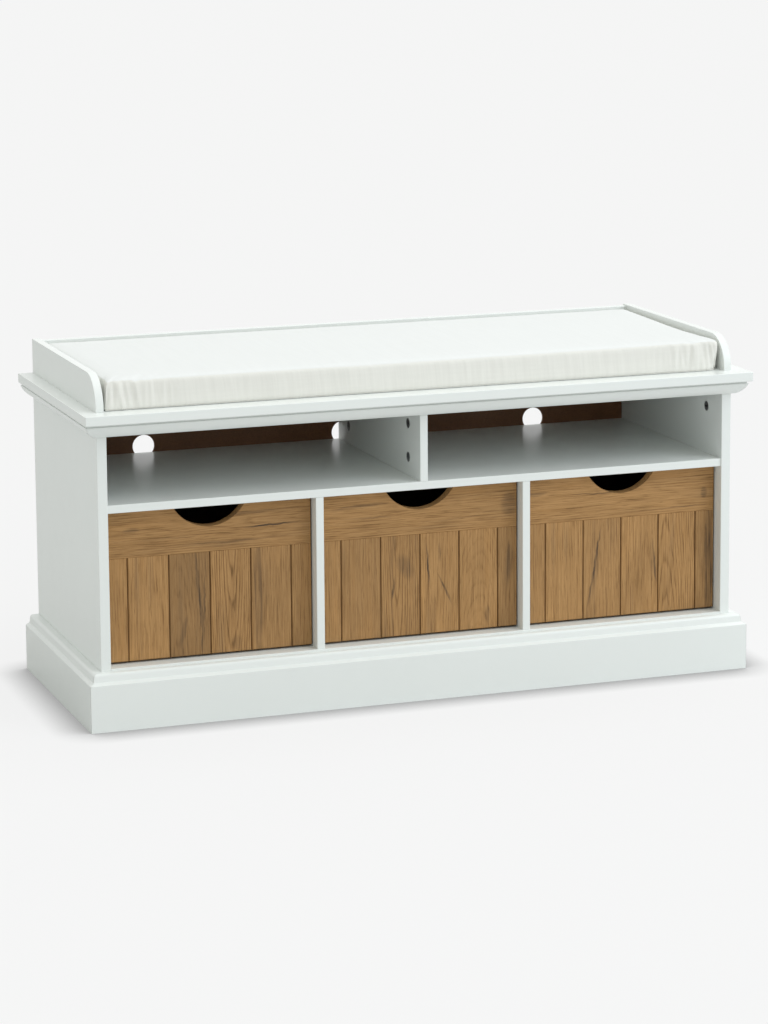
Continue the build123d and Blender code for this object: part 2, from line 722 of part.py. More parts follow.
for bay, word in ((-1, "left"), (0, "middle"), (1, "right")):
    save(box_front(bay), f"box_{word}_front")
    save(box_side(bay, -1), f"box_{word}_side_a")
    save(box_side(bay, 1), f"box_{word}_side_b")
    save(box_back(bay), f"box_{word}_back")
    save(box_base(bay), f"box_{word}_base")
    save(box_glides(bay), f"box_{word}_glides")
    save(box_dowels(bay), f"box_{word}_dowels")
    save(screws(wall_screw_points(bay), Y * -1, box_screw_length, screw_radius, screw_head_radius,
                screw_head_thick), f"box_{word}_screws")
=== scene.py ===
"""Entryway bench: the finished looks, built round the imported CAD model.

Metres, in the CAD's own frame: +Z is up, +X runs to the right and the front faces -Y.
"""
import json
import math
import random

import bmesh
import bpy
from mathutils import Matrix, Vector, noise


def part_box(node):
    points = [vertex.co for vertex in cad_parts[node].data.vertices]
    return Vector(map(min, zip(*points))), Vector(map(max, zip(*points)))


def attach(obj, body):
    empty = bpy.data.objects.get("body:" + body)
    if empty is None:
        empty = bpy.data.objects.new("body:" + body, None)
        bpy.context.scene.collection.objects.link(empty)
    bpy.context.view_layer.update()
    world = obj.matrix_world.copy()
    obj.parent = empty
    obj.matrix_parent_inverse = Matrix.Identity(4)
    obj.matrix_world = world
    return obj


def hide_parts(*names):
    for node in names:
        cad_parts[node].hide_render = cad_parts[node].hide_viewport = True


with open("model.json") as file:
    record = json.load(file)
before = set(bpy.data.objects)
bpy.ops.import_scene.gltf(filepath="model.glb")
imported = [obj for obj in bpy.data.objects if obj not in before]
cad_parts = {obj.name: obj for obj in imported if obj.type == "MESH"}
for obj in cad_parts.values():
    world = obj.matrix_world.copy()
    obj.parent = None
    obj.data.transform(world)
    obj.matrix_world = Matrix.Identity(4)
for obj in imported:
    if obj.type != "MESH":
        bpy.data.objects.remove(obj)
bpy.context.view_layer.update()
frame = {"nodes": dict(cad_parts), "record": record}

nodes = frame["nodes"]

MM = 0.001

# ---------------------------------------------------------------- camera, light and floor
CAMERA_PLACE = Vector((-1.618, -4.564, 1.267))
CAMERA_YAW = 0.3406             # radians to the right of +Y
CAMERA_PITCH = 0.1601           # radians below level
CAMERA_ROLL = -0.0072
CAMERA_LENS = 113.6             # mm
CAMERA_SENSOR = 36              # mm
CAMERA_SHIFT = -0.15            # of the sensor's size

WHITE = (1, 1, 1, 1)
BACKDROP = 0.905                # linear grey of the seamless backdrop, as the camera sees it
FILL_LIGHT = 0.672              # brightness of the room round the bench, as the bench sees it
FILL_COLOUR = (0.99, 1.015, 0.98, 1)
KEY_PLACE = Vector((2.5, -2.5, 2.15))
KEY_AIM = Vector((0, -0.2, 0.25))
KEY_WIDTH = 2.2
KEY_POWER = 30.5                # W
KEY_COLOUR = (0.90, 1.0, 1.13)
TOP_FROM = Vector((0.46, -0.12, 0.92))  # the way towards the soft light above
TOP_STRENGTH = 1.40             # W per square metre
TOP_SIZE = math.radians(70)     # how much of the sky that light fills
FLOOR_SIZE = 60.0
FLOOR_PAINT = 0.64              # of the light that falls on it, what the floor sends back
FLOOR_GLOW = 0.88               # share of the floor's brightness that no shadow takes away
CONTACT_REACH = 60 * MM         # how far the contact shadow spreads
CONTACT_DARKENING = 1.3         # power that deepens it


def make_camera():
    """The camera at the photograph's place, tilted down a little and rolled by a hair."""
    ahead = Vector((math.sin(CAMERA_YAW), math.cos(CAMERA_YAW), 0))
    right = Vector((math.cos(CAMERA_YAW), -math.sin(CAMERA_YAW), 0))
    up = Vector((0, 0, 1))
    forward = ahead * math.cos(CAMERA_PITCH) - up * math.sin(CAMERA_PITCH)
    above = up * math.cos(CAMERA_PITCH) + ahead * math.sin(CAMERA_PITCH)
    side = right * math.cos(CAMERA_ROLL) + above * math.sin(CAMERA_ROLL)
    top = above * math.cos(CAMERA_ROLL) - right * math.sin(CAMERA_ROLL)
    data = bpy.data.cameras.new("camera")
    data.lens = CAMERA_LENS
    data.sensor_width = CAMERA_SENSOR
    data.shift_y = CAMERA_SHIFT
    data.clip_end = 200
    camera = bpy.data.objects.new("camera", data)
    camera.matrix_world = Matrix.Translation(CAMERA_PLACE) @ Matrix(
        (side, top, -forward)).transposed().to_4x4()
    bpy.context.scene.collection.objects.link(camera)
    bpy.context.scene.camera = camera
    bpy.context.scene.view_settings.view_transform = "Standard"


def make_light():
    """An even room that looks like the backdrop, a wide key light from the right, and a soft one above."""
    world = bpy.data.worlds.new("studio")
    world.use_nodes = True
    tree = world.node_tree
    tree.nodes.clear()
    output = tree.nodes.new("ShaderNodeOutputWorld")
    chooser = tree.nodes.new("ShaderNodeMixShader")
    path = tree.nodes.new("ShaderNodeLightPath")
    shown = tree.nodes.new("ShaderNodeMath")
    shown.operation = "MAXIMUM"
    tree.links.new(path.outputs["Is Camera Ray"], shown.inputs[0])
    tree.links.new(path.outputs["Is Glossy Ray"], shown.inputs[1])
    tree.links.new(shown.outputs[0], chooser.inputs[0])
    for socket, colour, brightness in ((1, FILL_COLOUR, FILL_LIGHT), (2, WHITE, BACKDROP)):
        glow = tree.nodes.new("ShaderNodeBackground")
        glow.inputs["Color"].default_value = colour
        glow.inputs["Strength"].default_value = brightness
        tree.links.new(glow.outputs[0], chooser.inputs[socket])
    tree.links.new(chooser.outputs[0], output.inputs["Surface"])
    bpy.context.scene.world = world

    key = add_light("key", "AREA", KEY_PLACE - KEY_AIM)
    key.location = KEY_PLACE
    key.data.size = KEY_WIDTH
    key.data.energy = KEY_POWER
    key.data.color = KEY_COLOUR
    top = add_light("top", "SUN", TOP_FROM)
    top.data.energy = TOP_STRENGTH
    top.data.angle = TOP_SIZE
    top.visible_glossy = False  # too soft to leave a highlight on a rounded edge


def add_light(name, kind, comes_from):
    """A light that shines from that direction."""
    light = bpy.data.objects.new(name, bpy.data.lights.new(name, kind))
    light.rotation_mode = "QUATERNION"
    light.rotation_quaternion = comes_from.to_track_quat("Z", "Y")
    light.visible_camera = False
    bpy.context.scene.collection.objects.link(light)
    return light


# ---------------------------------------------------------------- material nodes
class Graph:
    """One material's node tree. Each call adds a node and gives back its output socket."""

    def __init__(self, name):
        self.material = bpy.data.materials.new(name)
        self.material.use_nodes = True
        self.tree = self.material.node_tree
        self.tree.nodes.clear()
        coordinates = self.tree.nodes.new("ShaderNodeTexCoord")
        self.place = coordinates.outputs["Object"]
        self.facing = coordinates.outputs["Normal"]

    def feed(self, socket, value):
        """Links a socket to an input, or sets a plain number or colour on it."""
        if isinstance(value, bpy.types.NodeSocket):
            self.tree.links.new(value, socket)
        elif hasattr(socket.default_value, "__len__") and len(socket.default_value) == 4:
            socket.default_value = (*value[:3], 1)
        else:
            socket.default_value = value

    def node(self, kind, inputs, output=0, **settings):
        """Adds a shader node; inputs are keyed by name or number, settings are its own properties."""
        made = self.tree.nodes.new("ShaderNode" + kind)
        for name, value in settings.items():
            setattr(made, name, value)
        for key, value in inputs.items():
            self.feed(made.inputs[key], value)
        return made.outputs[output]

    def math(self, operation, *values):
        """A Math node; each value is a number or a socket."""
        return self.node("Math", dict(enumerate(values)), operation=operation)

    def split(self, vector):
        made = self.tree.nodes.new("ShaderNodeSeparateXYZ")
        self.feed(made.inputs[0], vector)
        return made.outputs[0], made.outputs[1], made.outputs[2]

    def join(self, x, y, z):
        return self.node("CombineXYZ", {0: x, 1: y, 2: z})

    def stretch(self, vector, x, y, z):
        return self.node("VectorMath", {0: vector, 1: (x, y, z)}, operation="MULTIPLY")

    def noise(self, vector, scale=1.0, detail=2.0, roughness=0.5, distortion=0.0):
        return self.node("TexNoise", {"Vector": vector, "Scale": scale, "Detail": detail,
                                      "Roughness": roughness, "Distortion": distortion})

    def grain(self, along, across, third, per_metre, **settings):
        """Noise drawn out along the grain; per_metre is how many waves it has along and across it."""
        place = self.join(self.math("MULTIPLY", along, per_metre[0]),
                          self.math("MULTIPLY", across, per_metre[1]), third)
        return self.noise(place, **settings)

    def remap(self, value, low, high, to_low=0.0, to_high=1.0, smooth=False):
        style = "SMOOTHSTEP" if smooth else "LINEAR"
        return self.node("MapRange", {0: value, 1: low, 2: high, 3: to_low, 4: to_high},
                         interpolation_type=style)

    def mix(self, factor, first, second, blend="MIX"):
        return self.node("Mix", {0: factor, 6: first, 7: second}, output=2,
                         data_type="RGBA", blend_type=blend)

    def ramp(self, factor, *stops, steps=False):
        """Colour ramp through (position, colour) stops; with steps, each colour holds to the next stop."""
        made = self.tree.nodes.new("ShaderNodeValToRGB")
        made.color_ramp.interpolation = "CONSTANT" if steps else "LINEAR"
        self.feed(made.inputs[0], factor)
        elements = made.color_ramp.elements
        elements[0].position = stops[0][0]
        elements[1].position = stops[-1][0]
        for position, _ in stops[1:-1]:
            elements.new(position)
        for element, (_, colour) in zip(elements, stops):
            element.color = (*colour, 1)
        return made.outputs[0]

    def bump(self, height, distance, strength=1.0, normal=None):
        inputs = {"Height": height, "Distance": distance, "Strength": strength}
        if normal is not None:
            inputs["Normal"] = normal
        return self.node("Bump", inputs)

    def finish(self, **inputs):
        """Ends the tree in a Principled shader. A plain number stays on the shader's own socket."""
        names = {key: key.replace("_", " ").title() for key in inputs}
        names.update(specular="Specular IOR Level", sheen="Sheen Weight")
        shader = self.node("BsdfPrincipled", {names[key]: value for key, value in inputs.items()})
        return self.output(shader)

    def output(self, shader):
        end = self.tree.nodes.new("ShaderNodeOutputMaterial")
        self.tree.links.new(shader, end.inputs["Surface"])
        return self.material


def make_floor():
    """A plain pale floor, wide enough to run out of sight, with a soft contact shadow."""
    graph = Graph("floor")
    open_share = graph.node("AmbientOcclusion", {"Distance": CONTACT_REACH}, output="AO", samples=16)
    shade = graph.math("POWER", open_share, CONTACT_DARKENING)
    glow = graph.node("Emission", {"Strength": graph.math("MULTIPLY", shade, BACKDROP * FLOOR_GLOW)})
    paint = BACKDROP * (1 - FLOOR_GLOW)
    shown = graph.node("AddShader", {0: glow, 1: graph.node("BsdfDiffuse", {"Color": (paint,) * 3})})
    bounce = graph.node("BsdfDiffuse", {"Color": (FLOOR_PAINT,) * 3})
    seen = graph.node("LightPath", {}, output="Is Camera Ray")
    graph.output(graph.node("MixShader", {0: seen, 1: bounce, 2: shown}))
    mesh = bpy.data.meshes.new("floor")
    half = FLOOR_SIZE / 2
    corners = [(-half, -half, 0), (half, -half, 0), (half, half, 0), (-half, half, 0)]
    mesh.from_pydata(corners, [], [(0, 1, 2, 3)])
    floor = bpy.data.objects.new("floor", mesh)
    floor.data.materials.append(graph.material)
    bpy.context.scene.collection.objects.link(floor)


# ---------------------------------------------------------------- materials
EASED_EDGE = 0.9 * MM           # how far in from a board's edge the lacquer rounds it
LACQUER = (0.838, 0.868, 0.845)
LACQUER_PALE = (0.848, 0.877, 0.855)
LACQUER_RUBBED = (0.79, 0.80, 0.75)
LACQUER_ROUGHNESS = (0.235, 0.255)
RUBBED_ROUGHER = 0.012          # added to the roughness on the rubbed edges

HARDBOARD_DARK = (0.110, 0.045, 0.017)
HARDBOARD_PRESSED = (0.130, 0.055, 0.023)
HARDBOARD_PALE = (0.225, 0.098, 0.039)

FLAKE_DARK = (0.30, 0.20, 0.11)
FLAKE_MID = (0.52, 0.39, 0.24)
FLAKE_PALE = (0.66, 0.53, 0.36)
CHIPBOARD_GRIT = (0.33, 0.22, 0.13)

BEECH_PALE = (0.70, 0.50, 0.32)
BEECH_DARK = (0.60, 0.40, 0.24)
BEECH_FLECK = (0.38, 0.22, 0.12)

# Plating: bright colour, dull colour, mean roughness, and tool marks per metre along x, y and z
ZINC = ((0.33, 0.34, 0.35), (0.20, 0.21, 0.22), 0.42, (700, 700, 700))
STEEL = ((0.62, 0.61, 0.59), (0.45, 0.44, 0.43), 0.38, (300, 1200, 300))

FELT_DARK = (0.20, 0.19, 0.18)
FELT_PALE = (0.36, 0.35, 0.33)

# The hollow colour is painted shade inside the open cells; the wall and yellowed colours are the foam's own
FOAM_HOLLOW_SHADE = (0.62, 0.57, 0.43)
FOAM_WALL = (0.88, 0.85, 0.74)
FOAM_YELLOWED = (0.85, 0.79, 0.60)


def white_lacquer():
    """Satin lacquer on smooth board: a very fine orange peel, edges eased and rubbed by hands."""
    graph = Graph("white_lacquer")
    cloud = graph.noise(graph.place, scale=5, detail=2)
    peel = graph.noise(graph.place, scale=380, detail=2)
    wear = graph.noise(graph.place, scale=22, detail=3)
    haze = graph.noise(graph.place, scale=30, detail=2)
    eased = graph.node("Bevel", {"Radius": EASED_EDGE}, samples=4)
    flat = graph.node("NewGeometry", {}, output="True Normal")
    turned = graph.node("VectorMath", {0: eased, 1: flat}, output="Value", operation="DOT_PRODUCT")
    rubbed = graph.math("MULTIPLY", graph.remap(turned, 0.97, 0.80),
                        graph.remap(wear, 0.42, 0.62, 0.1, 0.6))
    colour = graph.ramp(cloud, (0.3, LACQUER), (0.7, LACQUER_PALE))
    colour = graph.mix(rubbed, colour, LACQUER_RUBBED)
    gloss = graph.math("ADD", graph.remap(haze, 0.3, 0.7, *LACQUER_ROUGHNESS),
                       graph.math("MULTIPLY", rubbed, RUBBED_ROUGHER))
    return graph.finish(base_color=colour, roughness=gloss,
                        normal=graph.bump(peel, 0.002 * MM, normal=eased))


def hardboard():
    """Brown hardboard: felted wood fibre, a little glossy and darker where it was pressed hardest."""
    graph = Graph("hardboard")
    fibre = graph.noise(graph.stretch(graph.place, 300, 300, 420),
                        detail=5, roughness=0.7, distortion=1.2)
    patch = graph.noise(graph.place, scale=14, detail=3)
    colour = graph.ramp(fibre, (0.25, HARDBOARD_DARK), (0.75, HARDBOARD_PALE))
    colour = graph.mix(graph.remap(patch, 0.35, 0.7, 0, 0.5), colour, HARDBOARD_PRESSED)
    gloss = graph.remap(patch, 0.3, 0.7, 0.42, 0.55)
    return graph.finish(base_color=colour, roughness=gloss, specular=0.35,
                        normal=graph.bump(fibre, 0.05 * MM, 0.6))


def raw_board():
    """Chipboard as sawn: flakes of several browns, pressed flat."""
    graph = Graph("raw_board")
    flakes = graph.node("TexVoronoi", {"Vector": graph.stretch(graph.place, 1, 1, 1.6), "Scale": 260},
                        output="Color", feature="F1")
    flake_tone = graph.node("SeparateColor", {0: flakes})
    grit = graph.noise(graph.place, scale=900, detail=3)
    colour = graph.ramp(flake_tone, (0.0, FLAKE_DARK), (0.5, FLAKE_MID), (1.0, FLAKE_PALE))
    colour = graph.mix(graph.remap(grit, 0.4, 0.75, 0, 0.5), colour, CHIPBOARD_GRIT)
    return graph.finish(base_color=colour, roughness=0.82, specular=0.25,
                        normal=graph.bump(grit, 0.15 * MM, 0.8))


def beech():
    """Turned beech dowels: pale pink-brown with short darker flecks along the grain."""
    graph = Graph("beech")
    fleck = graph.noise(graph.stretch(graph.place, 90, 900, 900), detail=3)
    tone = graph.noise(graph.stretch(graph.place, 15, 140, 140), detail=3)
    colour = graph.ramp(tone, (0.3, BEECH_PALE), (0.7, BEECH_DARK))
    colour = graph.mix(graph.remap(fleck, 0.58, 0.72, 0, 0.6), colour, BEECH_FLECK)
    return graph.finish(base_color=colour, roughness=0.6, normal=graph.bump(fleck, 0.05 * MM, 0.6))


def metal(name, bright, dull, rough, marks_per_metre):
    """Plated metal: cloudy plating with fine tool marks."""
    graph = Graph(name)
    cloud = graph.noise(graph.place, scale=260, detail=4, roughness=0.6)
    marks = graph.noise(graph.stretch(graph.place, *marks_per_metre), detail=3)
    colour = graph.ramp(cloud, (0.3, bright), (0.72, dull))
    gloss = graph.remap(marks, 0.3, 0.7, rough - 0.08, rough + 0.12)
    return graph.finish(base_color=colour, metallic=1.0, roughness=gloss,
                        normal=graph.bump(marks, 0.02 * MM, 0.5))


def glide_felt():
    """Grey needled felt: matted fibres with no direction."""
    graph = Graph("glide_felt")
    fibre = graph.noise(graph.place, scale=1500, detail=5, roughness=0.75, distortion=2.0)
    tuft = graph.noise(graph.place, scale=240, detail=3)
    colour = graph.ramp(fibre, (0.3, FELT_DARK), (0.7, FELT_PALE))
    height = graph.math("ADD", fibre, tuft)
    return graph.finish(base_color=colour, roughness=0.95, sheen=0.3, specular=0.1,
                        normal=graph.bump(height, 0.3 * MM, 0.8))


def foam():
    """Polyurethane foam: open cells with their hollows darkened as painted shade, yellowing a little in
    patches.
    """
    graph = Graph("foam")
    cells = graph.node("TexVoronoi", {"Vector": graph.place, "Scale": 900}, output="Distance")
    patch = graph.noise(graph.place, scale=9, detail=2)
    colour = graph.ramp(cells, (0.0, FOAM_HOLLOW_SHADE), (0.6, FOAM_WALL))
    colour = graph.mix(graph.remap(patch, 0.4, 0.7, 0, 0.4), colour, FOAM_YELLOWED)
    return graph.finish(base_color=colour, roughness=0.95, specular=0.1,
                        normal=graph.bump(cells, 0.4 * MM, 0.8))


THREAD = 0.55 * MM              # from one thread of the cloth to the next
# Painted light: lit and shaded copies of the one cloth, the boxing warmer and creamier as in shade, the top
# cooler as lit from above
BOXING_SHADED_CREAM = (0.778, 0.768, 0.720)
BOXING_SHADED_PALE = (0.826, 0.817, 0.768)
TOP_LIT_WHITE = (0.790, 0.801, 0.793)
TOP_LIT_PALE = (0.804, 0.815, 0.808)
SEAM_SHADE = (0.42, 0.40, 0.35)

FOIL_BROWN = (0.150, 0.098, 0.060)
FOIL_LINE = (0.062, 0.040, 0.025)
FOIL_BAND = (0.085, 0.055, 0.034)


def cover_cloth():
    """Plain-woven white cotton with slubs: threads over and under, with painted light: the top coloured
    cooler than the boxing, as lit from above.
    """
    graph = Graph("cover_cloth")
    x, y, z = graph.split(graph.place)
    facing_up = graph.split(graph.facing)[2]
    level = graph.remap(graph.math("ABSOLUTE", facing_up), 0.55, 0.85, smooth=True)
    along = graph.node("Mix", {0: level, 2: graph.math("ADD", x, y), 3: x})
    across = graph.node("Mix", {0: level, 2: z, 3: y})
    turn = math.pi / THREAD
    warp = graph.math("SINE", graph.math("MULTIPLY", along, turn))
    weft = graph.math("SINE", graph.math("MULTIPLY", across, turn))
    weave = graph.math("ABSOLUTE", graph.math("MULTIPLY", warp, weft))
    slub_up = graph.grain(along, across, 0.3, (170, 9), detail=3, roughness=0.6)
    slub_level = graph.grain(along, across, 0.7, (12, 300), detail=3, roughness=0.6)
    slub = graph.math("MULTIPLY_ADD", slub_level, 0.25, graph.math("MULTIPLY", slub_up, 0.75))
    # Painted light: the shaded colour on the sides and the lit colour on the top, mixed by how level the
    # cloth lies
    side_shaded_colour = graph.ramp(slub, (0.36, BOXING_SHADED_CREAM), (0.64, BOXING_SHADED_PALE))
    top_lit_colour = graph.ramp(slub, (0.36, TOP_LIT_WHITE), (0.64, TOP_LIT_PALE))
    colour = graph.mix(level, side_shaded_colour, top_lit_colour)
    sewn = graph.node("Attribute", {}, output="Fac", attribute_name="seam")
    colour = graph.mix(graph.remap(sewn, 0.55, 1.0, 0, 0.45), colour, SEAM_SHADE)
    height = graph.math("ADD", graph.math("MULTIPLY", weave, 0.5), graph.math("MULTIPLY", slub, 1.6))
    return graph.finish(base_color=colour, roughness=0.9, specular=0.15, sheen=0.12, sheen_roughness=0.5,
                        normal=graph.bump(height, 0.10 * MM, 0.7))


def box_foil():
    """Dark wood-print foil of the box walls, with the grain running round the box."""
    graph = Graph("box_foil")
    x, y, z = graph.split(graph.place)
    round_box = graph.math("ADD", x, y)
    grain = graph.grain(round_box, z, 0.2, (11, 420), detail=5, roughness=0.62)
    band = graph.grain(round_box, z, 0.9, (4, 60), detail=3)
    colour = graph.ramp(grain, (0.30, FOIL_BROWN), (0.68, FOIL_LINE))
    colour = graph.mix(graph.remap(band, 0.45, 0.68, 0, 0.6), colour, FOIL_BAND)
    return graph.finish(base_color=colour, roughness=0.55, specular=0.3,
                        normal=graph.bump(grain, 0.05 * MM, 0.6))


BAYS = ("left", "middle", "right")

# Box fronts, as the CAD cuts them
PLANK_COUNT = 5                 # plank widths in a front: four whole planks and half a plank at each end
PLANKS_TO_MIDDLE = 3            # planks left of the middle groove, the outermost of half width
BAND_HEIGHT = 68 * MM           # of the plain band along the top
GROOVE_DEPTH = 2 * MM
GROOVE_SHADE = (0.075, 0.034, 0.012)

OAK_LIGHT = (0.500, 0.287, 0.117)
OAK_MID = (0.402, 0.221, 0.085)
OAK_DARK = (0.150, 0.074, 0.026)
OAK_GREY = (0.240, 0.150, 0.078)
OAK_AMBER = (0.480, 0.252, 0.088)
OAK_STAIN = (0.070, 0.047, 0.033)

RING_WIDTH = 2.9 * MM           # between two growth rings
HEART_AWAY = 18 * MM            # most that the tree's heart lies to one side of a plank's middle
HEART_DEPTH = (8 * MM, 26 * MM)
HEART_LEAN = 0.14               # most that the heart leans into the plank, along its length
RING_WANDER = 8 * MM
RING_RIPPLE = 0.35              # of a ring's width

# Each plank of a front, from left to right: tone, greyness and strength of the arches. The last, the half
# plank at the right end, has its tone lowered as painted shade, for the shadow of the wall right of the box
PLANKS = {
    "left": ((0.98, 0.0, 0.2), (0.99, 0.0, 0.2), (0.80, 0.3, 0.3),
             (0.97, 0.05, 0.9), (0.93, 0.15, 0.2), (0.82, 0.05, 0.2)),
    "middle": ((0.97, 0.1, 0.2), (0.92, 0.2, 0.2), (0.95, 0.1, 0.9),
               (1.0, 0.0, 0.4), (0.98, 0.0, 0.2), (0.84, 0.2, 0.2)),
    "right": ((0.96, 0.1, 0.2), (1.0, 0.0, 0.2), (0.97, 0.1, 0.2),
              (1.0, 0.0, 0.3), (1.0, 0.0, 0.7), (0.84, 0.1, 0.2)),
}
# Dark marks in the wood, in mm: across and up from the front's middle line and the floor, half length along
# the grain, half width, slope across the grain, and strength
UPRIGHT_MARKS = {
    "left": ((-17, 178, 90, 3.2, -0.09, 1.0), (-11, 150, 75, 2.4, 0.04, 0.9),
             (-16, 170, 85, 7, -0.09, 0.3), (-41, 128, 30, 5, 0.2, 0.5), (73, 175, 130, 9, 0.0, 0.5),
             (70, 212, 22, 7, 0.1, 0.5), (40, 105, 14, 10, 0.0, 0.35)),
    "middle": ((-24, 196, 24, 15, -0.3, 0.55), (-43, 165, 20, 2.6, 0.12, 0.9), (12, 195, 40, 2.2, -0.08, 0.9),
               (38, 160, 26, 2.2, -0.5, 0.95), (42, 150, 20, 2.0, -0.4, 0.9), (30, 214, 20, 2.6, 0.0, 0.7),
               (141, 188, 42, 9, 0.1, 0.6), (108, 112, 16, 6, 0.0, 0.4)),
    "right": ((-44, 170, 75, 2.8, 0.17, 1.0), (-44, 155, 50, 6, 0.17, 0.4), (52, 180, 34, 5, -0.05, 0.5),
              (55, 172, 40, 2.6, -0.1, 0.95), (147, 165, 110, 10, 0.0, 0.8), (136, 178, 50, 8, 0.0, 0.3)),
}
BAND_MARKS = {
    "left": ((95, 276, 50, 1.9, 0.04, 1.0), (-118, 284, 16, 5, 0.0, 0.5), (60, 297, 60, 3, 0.0, 0.35),
             (-60, 268, 70, 2, 0.02, 0.3), (30, 256, 90, 2.5, 0.0, 0.35)),
    "middle": ((-100, 292, 60, 4, 0.05, 0.5), (-80, 274, 50, 1.6, 0.0, 0.6), (142, 278, 16, 22, 0.0, 0.55),
               (60, 262, 70, 1.5, 0.03, 0.4)),
    "right": ((-140, 290, 22, 4, 0.05, 0.65), (138, 272, 7, 10, 0.0, 0.7), (-30, 284, 60, 1.5, 0.0, 0.6),
              (100, 252, 60, 1.5, 0.03, 0.45)),
}
MARK_WAVE = 4 * MM              # how far the marks wave to each side
# How much of the oak's brightness each plain band keeps, and how strong its arches are
BAND_TONES = {"left": 0.92, "middle": 0.95, "right": 0.99}
BAND_ARCHES = 0.35


def wood_figure(graph, along, across, depth, chance):
    """Growth rings of a board sawn off centre: arches where the cut skims a ring, lines elsewhere.

    chance is three random numbers, which put the heart of the tree in a new place for each board.
    """
    first, second, third = graph.split(chance)
    wander = graph.grain(along, across, third, (4, 9), detail=1)
    ripple = graph.grain(along, across, first, (20, 200), detail=2)
    heart_across = graph.remap(first, 0, 1, -HEART_AWAY, HEART_AWAY)
    lean = graph.remap(second, 0, 1, -HEART_LEAN, HEART_LEAN)
    heart_depth = graph.remap(third, 0, 1, *HEART_DEPTH)
    sideways = graph.math("ADD", graph.math("SUBTRACT", across, heart_across),
                          graph.remap(wander, 0, 1, -RING_WANDER, RING_WANDER))
    inward = graph.math("ADD", graph.math("ADD", depth, heart_depth), graph.math("MULTIPLY", along, lean))
    radius = graph.math("SQRT", graph.math("ADD", graph.math("POWER", sideways, 2),
                                           graph.math("POWER", inward, 2)))
    turns = graph.math("ADD", graph.math("DIVIDE", radius, RING_WIDTH),
                       graph.remap(ripple, 0, 1, -RING_RIPPLE, RING_RIPPLE))
    return graph.math("FRACT", turns)


def dark_marks(graph, along, across, marks):
    """Mask of stains and cracks: slender ovals along the grain, a little wavy."""
    wave = graph.grain(along, across, 0.4, (30, 8), detail=3, roughness=0.6)
    bent = graph.math("ADD", across, graph.remap(wave, 0, 1, -MARK_WAVE, MARK_WAVE))
    mask = 0.0
    for at_across, at_along, half_length, half_width, slope, strength in marks:
        rise = graph.math("SUBTRACT", along, at_along * MM)
        side = graph.math("SUBTRACT", bent, graph.math("MULTIPLY_ADD", rise, slope, at_across * MM))
        reach = graph.math("ADD", graph.math("POWER", graph.math("DIVIDE", side, half_width * MM), 2),
                           graph.math("POWER", graph.math("DIVIDE", rise, half_length * MM), 2))
        mask = graph.math("MAXIMUM", mask, graph.remap(reach, 1.0, 0.0, 0.0, strength, smooth=True))
    return mask


def oak(graph, along, across, depth, chance, arches, marks, middle):
    """Colour, height and gloss of an oak surface with the grain running the way of `along`."""
    first, second, _ = graph.split(chance)
    growth = wood_figure(graph, along, graph.math("SUBTRACT", across, middle), depth, chance)
    fibre = graph.grain(along, across, graph.math("MULTIPLY", depth, 520), (17, 520),
                        detail=4, roughness=0.65)
    strand = graph.grain(along, across, graph.math("MULTIPLY_ADD", depth, 320, first), (9, 320),
                         detail=3, roughness=0.6)
    streak = graph.grain(along, across, second, (4, 62), detail=3, roughness=0.6)
    pores = graph.grain(along, across, graph.math("MULTIPLY", depth, 760), (40, 760), detail=2)
    cloud = graph.grain(along, across, first, (9, 22), detail=2)

    late = graph.math("MAXIMUM", graph.remap(growth, 0.0, 0.35, 1.0, 0.0, smooth=True),
                      graph.remap(growth, 0.84, 1.0))
    rings = graph.math("MULTIPLY", late, graph.remap(arches, 0, 1, 0.02, 0.42))
    lines = graph.math("ADD", graph.math("MULTIPLY", graph.remap(strand, 0.30, 0.70), 0.32),
                       graph.math("MULTIPLY", graph.remap(fibre, 0.35, 0.65), 0.52))
    tone = graph.math("ADD", rings, lines)
    colour = graph.ramp(tone, (0.14, OAK_LIGHT), (0.52, OAK_MID), (0.98, OAK_DARK))
    colour = graph.mix(graph.remap(streak, 0.58, 0.76, 0, 0.4), colour, OAK_GREY)
    colour = graph.mix(graph.remap(streak, 0.46, 0.28, 0, 0.5), colour, OAK_AMBER)
    pore_mask = graph.math("MULTIPLY", graph.remap(pores, 0.58, 0.68), graph.remap(late, 0, 1, 0.5, 0.9))
    colour = graph.mix(graph.math("MULTIPLY", pore_mask, 0.7), colour, OAK_DARK)
    shade = graph.remap(cloud, 0.3, 0.7, 0.92, 1.06)
    colour = graph.mix(1.0, colour, graph.join(shade, shade, shade), blend="MULTIPLY")

    broken = graph.math("MULTIPLY", graph.remap(strand, 0.34, 0.60, 0.3, 1.1),
                        graph.remap(fibre, 0.35, 0.6, 0.6, 1.1))
    stain = graph.math("MULTIPLY", dark_marks(graph, along, across, marks), broken)
    colour = graph.mix(stain, colour, OAK_STAIN)

    height = graph.math("SUBTRACT", graph.math("MULTIPLY", fibre, 0.6), graph.math("ADD", pore_mask, stain))
    gloss = graph.remap(tone, 0, 1, 0.48, 0.60)
    return colour, height, gloss


